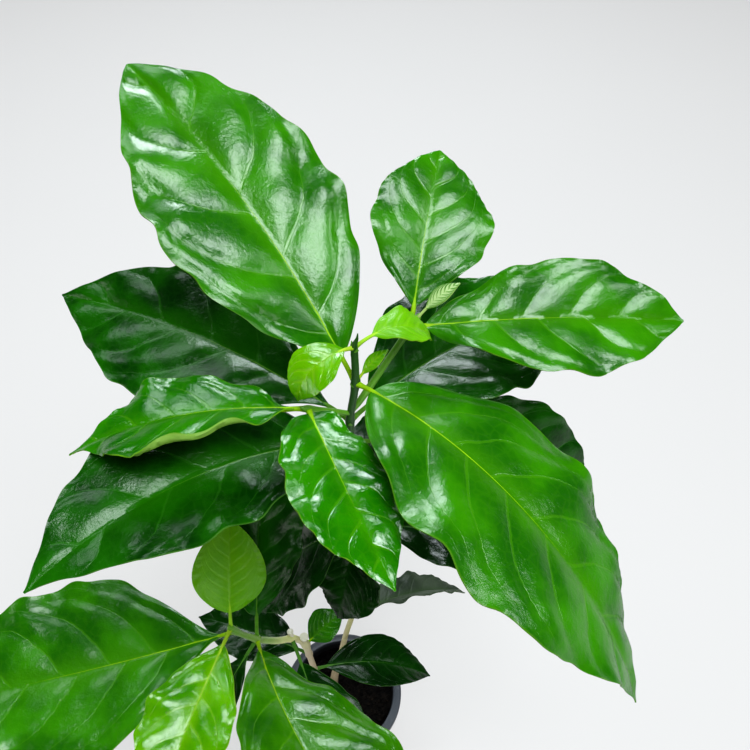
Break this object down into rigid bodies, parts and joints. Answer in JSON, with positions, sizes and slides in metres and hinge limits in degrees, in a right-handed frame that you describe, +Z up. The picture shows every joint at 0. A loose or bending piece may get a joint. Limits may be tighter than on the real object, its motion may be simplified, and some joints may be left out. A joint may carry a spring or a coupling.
{
  "type": "potted coffee plant",
  "caption": "Coffee plant with large glossy waved leaves on a woody main stem and a shorter side stem, standing in soil in a round nursery pot with a flat turned-down lip.",
  "frame": {"origin": "middle of the pot's flat underside, where the plant stands", "axes": "+Z up along the height; -Y is the front, towards the picture's camera; +X is the picture's right"},
  "size_m": [0.3658, 0.2721, 0.5343],
  "materials": {
    "pot_plastic": "satin",
    "soil_peat": "matte",
    "stem_green": "satin",
    "stem_bark": "matte",
    "leaf_mature": "gloss",
    "leaf_old": "gloss",
    "leaf_young": "gloss"
  },
  "bodies": {
    "root": {"leaf_bud_back": "leaf_young", "leaf_bud_front": "leaf_young", "leaf_bud_side": "leaf_young", "leaf_long_left": "leaf_old", "leaf_long_right": "leaf_old", "leaf_low_back": "leaf_old", "leaf_low_front": "leaf_old", "leaf_mid_left": "leaf_old", "leaf_mid_right": "leaf_old", "leaf_over_soil": "leaf_old", "leaf_shoot_back": "leaf_young", "leaf_shoot_front": "leaf_young", "leaf_shoot_left": "leaf_mature", "leaf_shoot_low_back": "leaf_old", "leaf_shoot_low_front": "leaf_mature", "leaf_shoot_under": "leaf_old", "leaf_side_back": "leaf_old", "leaf_side_under": "leaf_old", "leaf_side_young": "leaf_mature", "leaf_stem_right": "leaf_old", "leaf_top_back": "leaf_mature", "leaf_top_front": "leaf_mature", "leaf_twig_left_front": "leaf_mature", "leaf_twig_left_out": "leaf_mature", "leaf_twig_right_back": "leaf_mature", "leaf_twig_right_bud": "leaf_young", "leaf_twig_right_out": "leaf_mature", "leaf_upper_left": "leaf_old", "leaf_upper_right": "leaf_old", "main_stem": "stem_green", "pot": "pot_plastic", "side_stem": "stem_bark", "soil": "soil_peat"}
  },
  "joints": []
}
